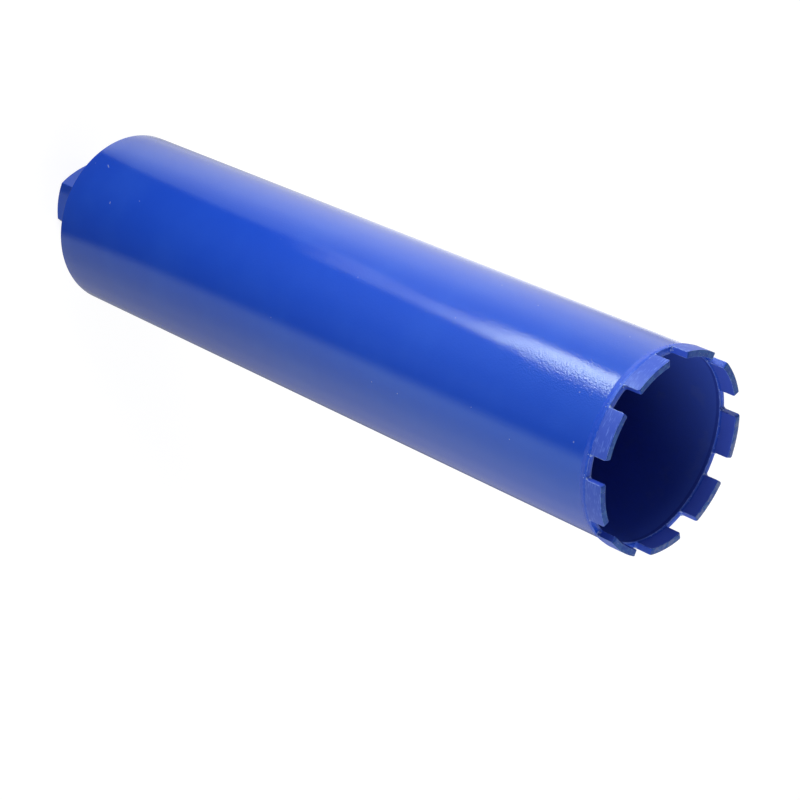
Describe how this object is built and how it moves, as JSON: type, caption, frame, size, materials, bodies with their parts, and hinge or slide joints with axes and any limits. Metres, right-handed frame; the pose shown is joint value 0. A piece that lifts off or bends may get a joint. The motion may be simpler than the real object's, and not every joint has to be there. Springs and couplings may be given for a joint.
{
  "type": "diamond core bit",
  "caption": "Wet diamond core bit: a painted steel barrel with brazed cutting segments on its open end and a threaded hexagonal hub on its closed end.",
  "frame": {"origin": "centre of the hub's flat end face, on which the bit stands", "axes": "+Z along the barrel's axis from the hub towards the cutting crown; +X through the middle of the first segment"},
  "size_m": [0.1117, 0.112, 0.4887],
  "materials": {
    "barrel_paint": "semi-gloss blue paint",
    "hub_paint": "semi-gloss blue paint",
    "segment_matrix": "thin blue paint over a ground metal and diamond matrix",
    "solder": "thin blue paint over silver solder"
  },
  "bodies": {
    "root": {"tube": "barrel_paint", "back_plate": "hub_paint", "hub": "hub_paint", "plate_weld": "hub_paint", "hub_weld": "hub_paint", "segment_1": "segment_matrix", "segment_2": "segment_matrix", "segment_3": "segment_matrix", "segment_4": "segment_matrix", "segment_5": "segment_matrix", "segment_6": "segment_matrix", "segment_7": "segment_matrix", "segment_8": "segment_matrix", "segment_9": "segment_matrix", "braze_1": "solder", "braze_2": "solder", "braze_3": "solder", "braze_4": "solder", "braze_5": "solder", "braze_6": "solder", "braze_7": "solder", "braze_8": "solder", "braze_9": "solder"}
  },
  "joints": []
}
